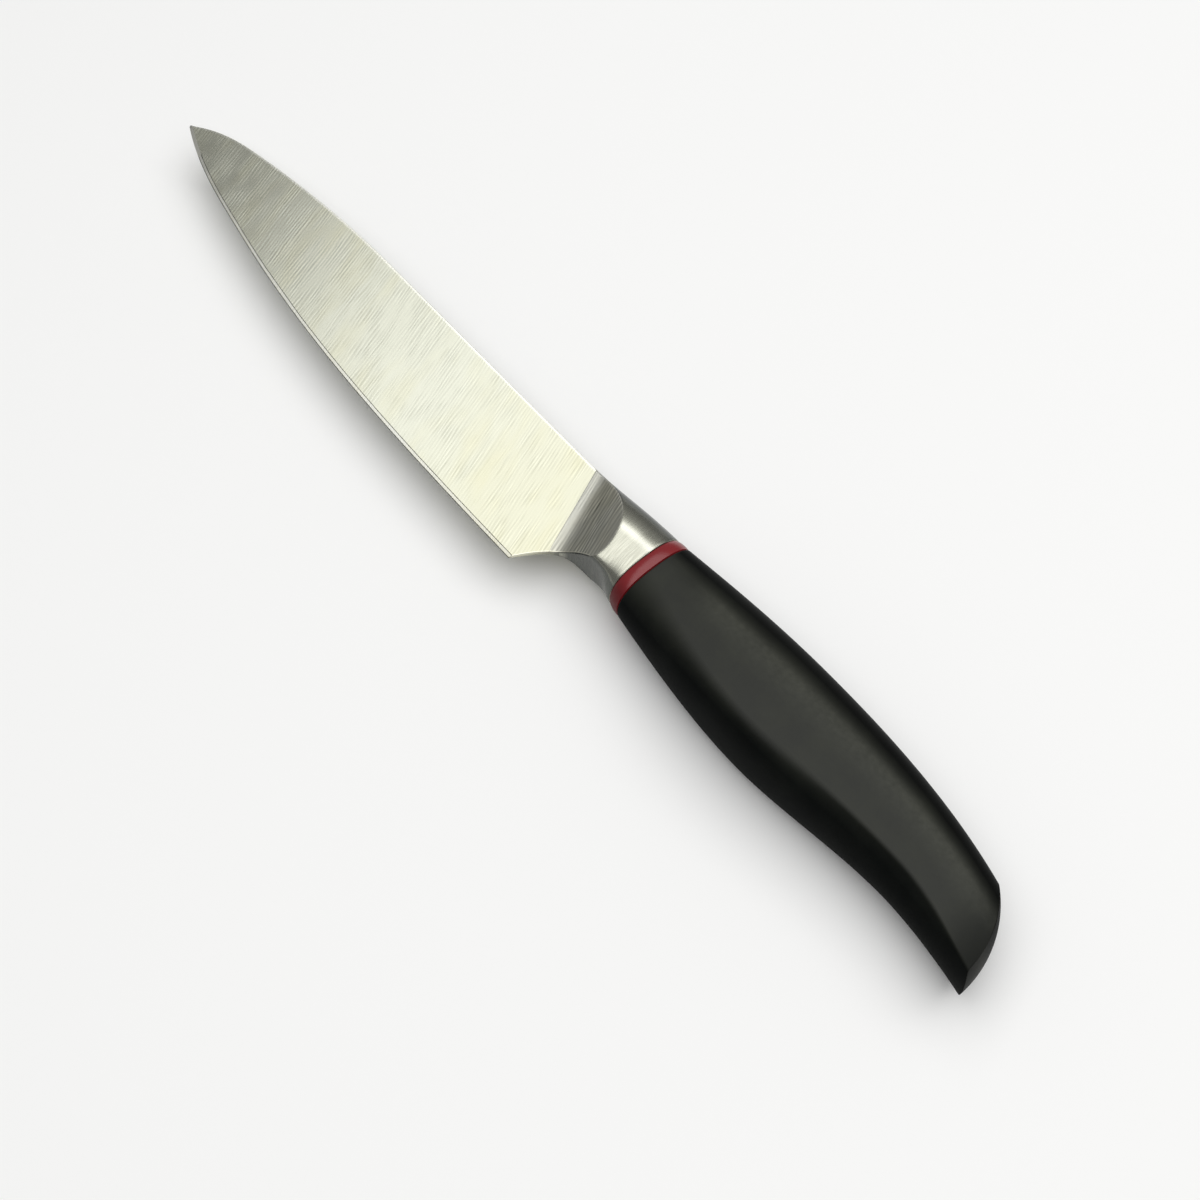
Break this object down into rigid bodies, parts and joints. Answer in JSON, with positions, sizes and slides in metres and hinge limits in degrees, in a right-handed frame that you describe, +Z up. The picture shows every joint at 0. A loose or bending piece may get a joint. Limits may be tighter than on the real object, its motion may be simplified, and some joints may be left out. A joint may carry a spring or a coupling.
{
  "type": "kitchen utility knife",
  "caption": "Kitchen utility knife with a flat-ground steel blade, an oval steel bolster, a red spacer ring and a black moulded handle with a hooked butt.",
  "frame": {"origin": "bottom centre of the bounding box, with the knife lying on its side", "axes": "+X from the tip to the butt, +Y from the cutting edge to the spine, +Z up through the thickness"},
  "size_m": [0.2426, 0.0284, 0.018],
  "materials": {
    "blade_steel": "ground across the blade, fine slanted lines",
    "bolster_steel": "satin polish",
    "ring_plastic": "gloss red",
    "core_plastic": "as moulded",
    "grip_plastic": "satin black"
  },
  "bodies": {
    "root": {"blade": "blade_steel", "bolster": "bolster_steel", "spacer_ring": "ring_plastic", "handle_core": "core_plastic", "grip": "grip_plastic"}
  },
  "joints": []
}
